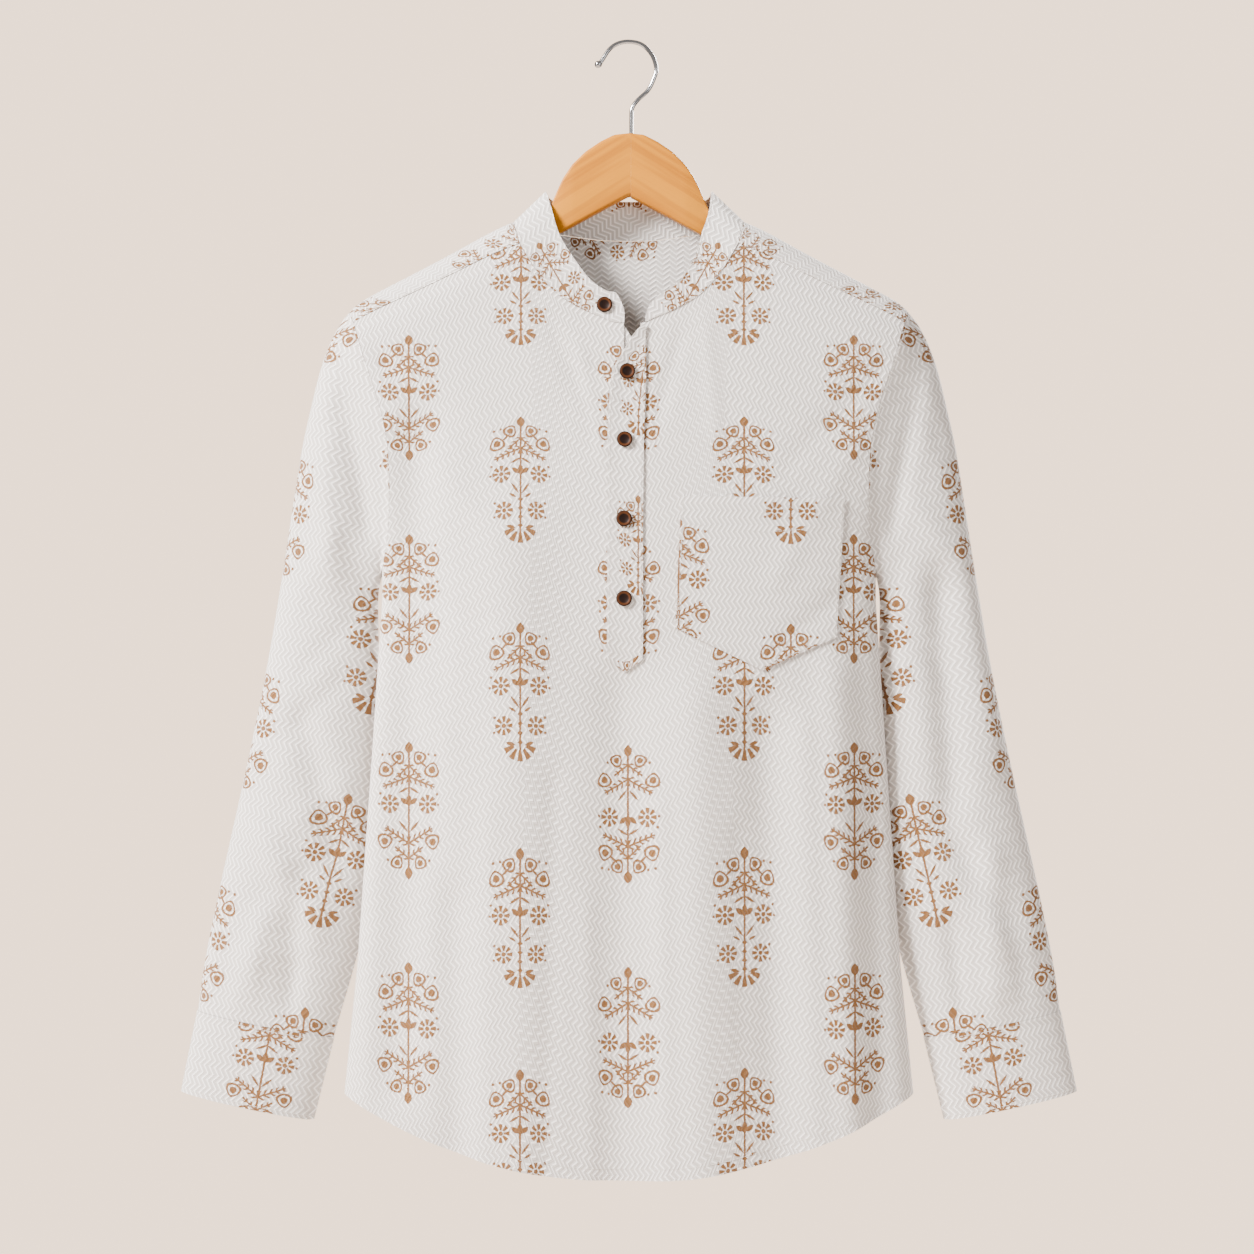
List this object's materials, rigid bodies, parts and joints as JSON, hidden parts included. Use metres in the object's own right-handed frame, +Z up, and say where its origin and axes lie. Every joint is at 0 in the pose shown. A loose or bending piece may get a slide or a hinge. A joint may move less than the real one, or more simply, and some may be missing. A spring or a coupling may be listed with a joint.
{
  "type": "kurta tunic on hanger",
  "caption": "Long-sleeved band-collar kurta tunic in pale block-printed cotton with a tan floral motif, hanging on a light wooden hanger with a wire hook",
  "frame": {"origin": "the inside of the hook's crown, where it rests on its peg or rail", "axes": "+Z up, front of the garment towards -Y, +X to the right as seen from the front"},
  "size_m": [0.7282, 0.0873, 0.9184],
  "materials": {
    "cloth": "soft white cotton with a raised zigzag weave and a tan block print",
    "button": "dark brown, polished rim",
    "wood": "light lacquered wood",
    "steel": "bright steel wire"
  },
  "bodies": {
    "root": {"front": "cloth", "back": "cloth", "yoke": "cloth", "collar": "cloth", "placket_over": "cloth", "placket_under": "cloth", "pocket": "cloth", "sleeve_left": "cloth", "sleeve_right": "cloth", "cuff_left": "cloth", "cuff_right": "cloth", "button_1": "button", "button_2": "button", "button_3": "button", "button_4": "button", "button_5": "button", "hanger_left": "wood", "hanger_right": "wood", "hook": "steel"}
  },
  "joints": []
}
